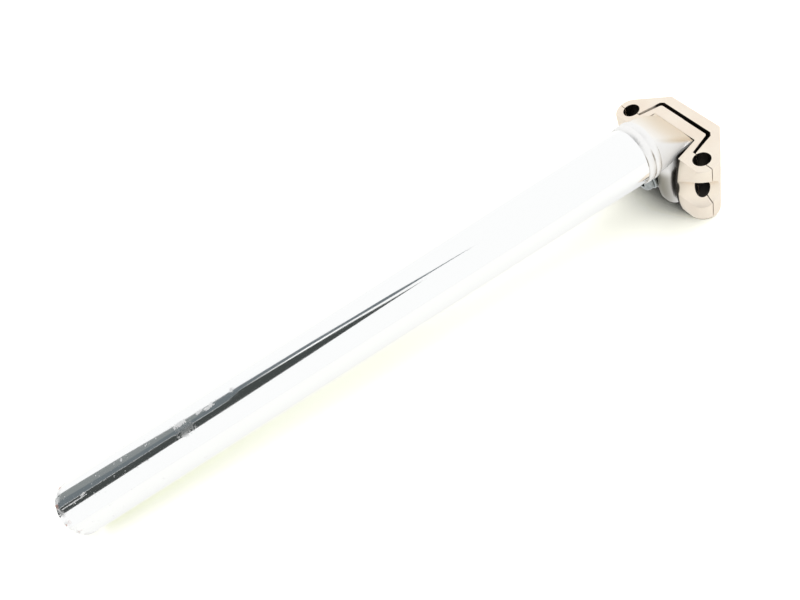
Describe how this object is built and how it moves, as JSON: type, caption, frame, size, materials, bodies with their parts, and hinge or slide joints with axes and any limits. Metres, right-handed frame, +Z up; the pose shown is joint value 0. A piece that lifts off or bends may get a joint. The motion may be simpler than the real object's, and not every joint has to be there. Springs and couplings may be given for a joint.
{
  "type": "bicycle seatpost",
  "caption": "Straight polished seatpost with a welded setback head and a bolted two-piece clamp that grips the rails of a saddle and tilts on a curved seat.",
  "frame": {"origin": "middle of the floor under the whole post as it lies at rest", "axes": "+X towards the saddle end, +Y across the saddle rails, +Z up from the floor the post lies on"},
  "size_m": [0.3434, 0.0576, 0.0497],
  "materials": {
    "polished_tube": "polished",
    "satin_head": "satin",
    "weld": "rippled satin",
    "satin_clamp": "satin",
    "fastener": "satin"
  },
  "bodies": {
    "post": {"post_tube": "polished_tube", "weld_bead": "weld", "post_head": "satin_head"},
    "cradle": {"lower_clamp": "satin_clamp", "seat_washer": "fastener"},
    "bolt": {"clamp_bolt": "fastener"},
    "jaw": {"upper_clamp": "satin_clamp", "clamp_nut": "fastener"}
  },
  "joints": [
    {"name": "clamp_tilt", "type": "hinge", "parent": "post", "child": "cradle", "pos_m": [0.1879, 0, 0.02362], "axis": [0, -1, 0], "range_deg": [-2.5, 11]},
    {"name": "bolt_turn", "type": "hinge", "parent": "cradle", "child": "bolt", "pos_m": [0.13881, 0, 0.01312], "axis": [-0.9779, 0, -0.2092], "range_deg": [0, 1441]},
    {"name": "jaw_lift", "type": "slide", "parent": "cradle", "child": "jaw", "axis": [0.9779, 0, 0.2092], "range_m": [0, 0.004]}
  ],
  "couplings": [
    {"joint": "bolt_turn", "follows": "jaw_lift", "rad_per_m": 6283.2}
  ]
}
